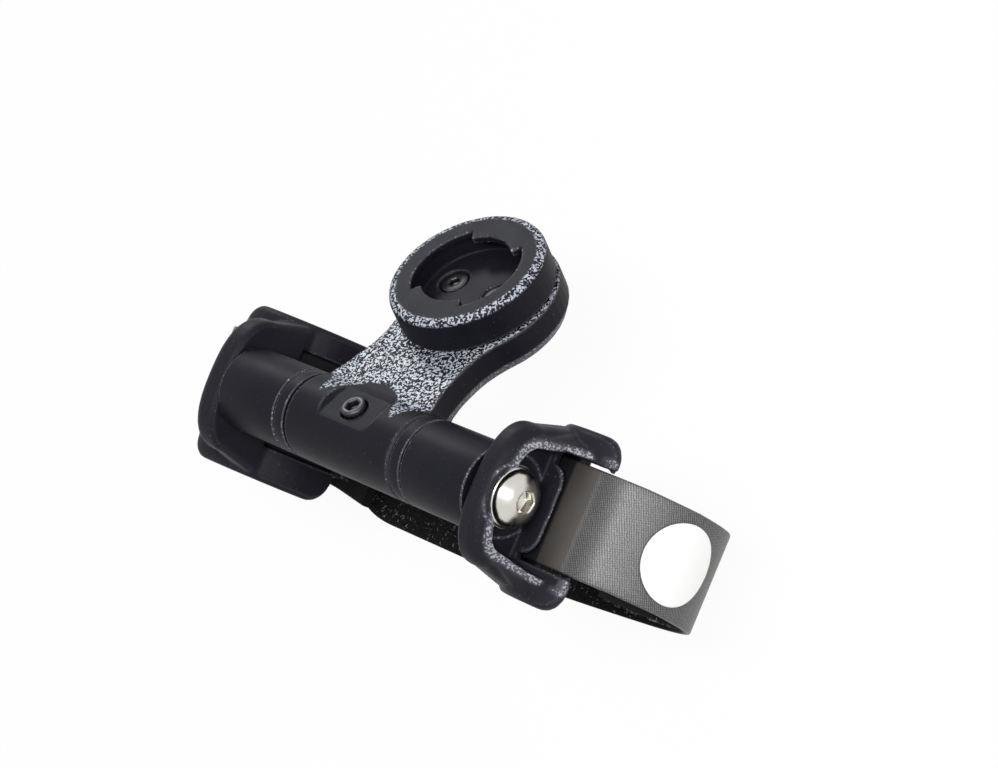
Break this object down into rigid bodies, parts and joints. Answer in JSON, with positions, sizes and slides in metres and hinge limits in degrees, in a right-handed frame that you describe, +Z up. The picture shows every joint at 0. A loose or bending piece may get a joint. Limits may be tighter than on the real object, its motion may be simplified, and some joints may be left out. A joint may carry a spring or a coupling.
{
  "type": "bike computer mount",
  "caption": "Crossbar mount on two strapped saddles, with a tilting arm that carries a quarter-turn display cradle.",
  "frame": {"origin": "midway between the two round seats, on the plane through both seat axes", "axes": "+X along the crossbar to the rider's right, +Y forward along the seats, +Z up, square to the plane of the seats"},
  "size_m": [0.1078, 0.0543, 0.0431],
  "materials": {
    "nylon": "satin black nylon with a fine grain",
    "nylon_grain": "coarse-grained black nylon",
    "rubber": "matte black rubber",
    "stainless": "bright stainless steel",
    "dark_steel": "blackened steel",
    "aluminium": "turned aluminium",
    "webbing": "dark hook-and-loop webbing",
    "white_film": "plain white film"
  },
  "bodies": {
    "crossbar": {"core_rod": "aluminium", "friction_ring_left": "rubber", "friction_ring_right": "rubber", "sleeve_left": "nylon", "sleeve_right": "nylon"},
    "arm": {"arm_body": "nylon_grain", "cradle_socket": "nylon", "cradle_screw_left": "dark_steel", "cradle_screw_right": "dark_steel", "clamp_screw": "dark_steel"},
    "left_saddle": {"saddle_left": "nylon", "pad_left": "rubber", "end_bolt_left": "stainless", "washer_left": "stainless", "strap_left": "webbing"},
    "right_saddle": {"saddle_right": "nylon", "pad_right": "rubber", "end_bolt_right": "stainless", "washer_right": "stainless", "strap_right": "webbing", "strap_dot": "white_film"}
  },
  "joints": [
    {"name": "arm_tilt", "type": "hinge", "parent": "crossbar", "child": "arm", "pos_m": [0, 0, 0.0188], "axis": [1, 0, 0], "range_deg": [-26, 122]},
    {"name": "saddle_left_swivel", "type": "hinge", "parent": "crossbar", "child": "left_saddle", "pos_m": [-0.0296, 0, 0.0188], "axis": [1, 0, 0], "range_deg": [-8, 8]},
    {"name": "saddle_right_swivel", "type": "hinge", "parent": "crossbar", "child": "right_saddle", "pos_m": [0.0296, 0, 0.0188], "axis": [1, 0, 0], "range_deg": [-8, 8]}
  ]
}
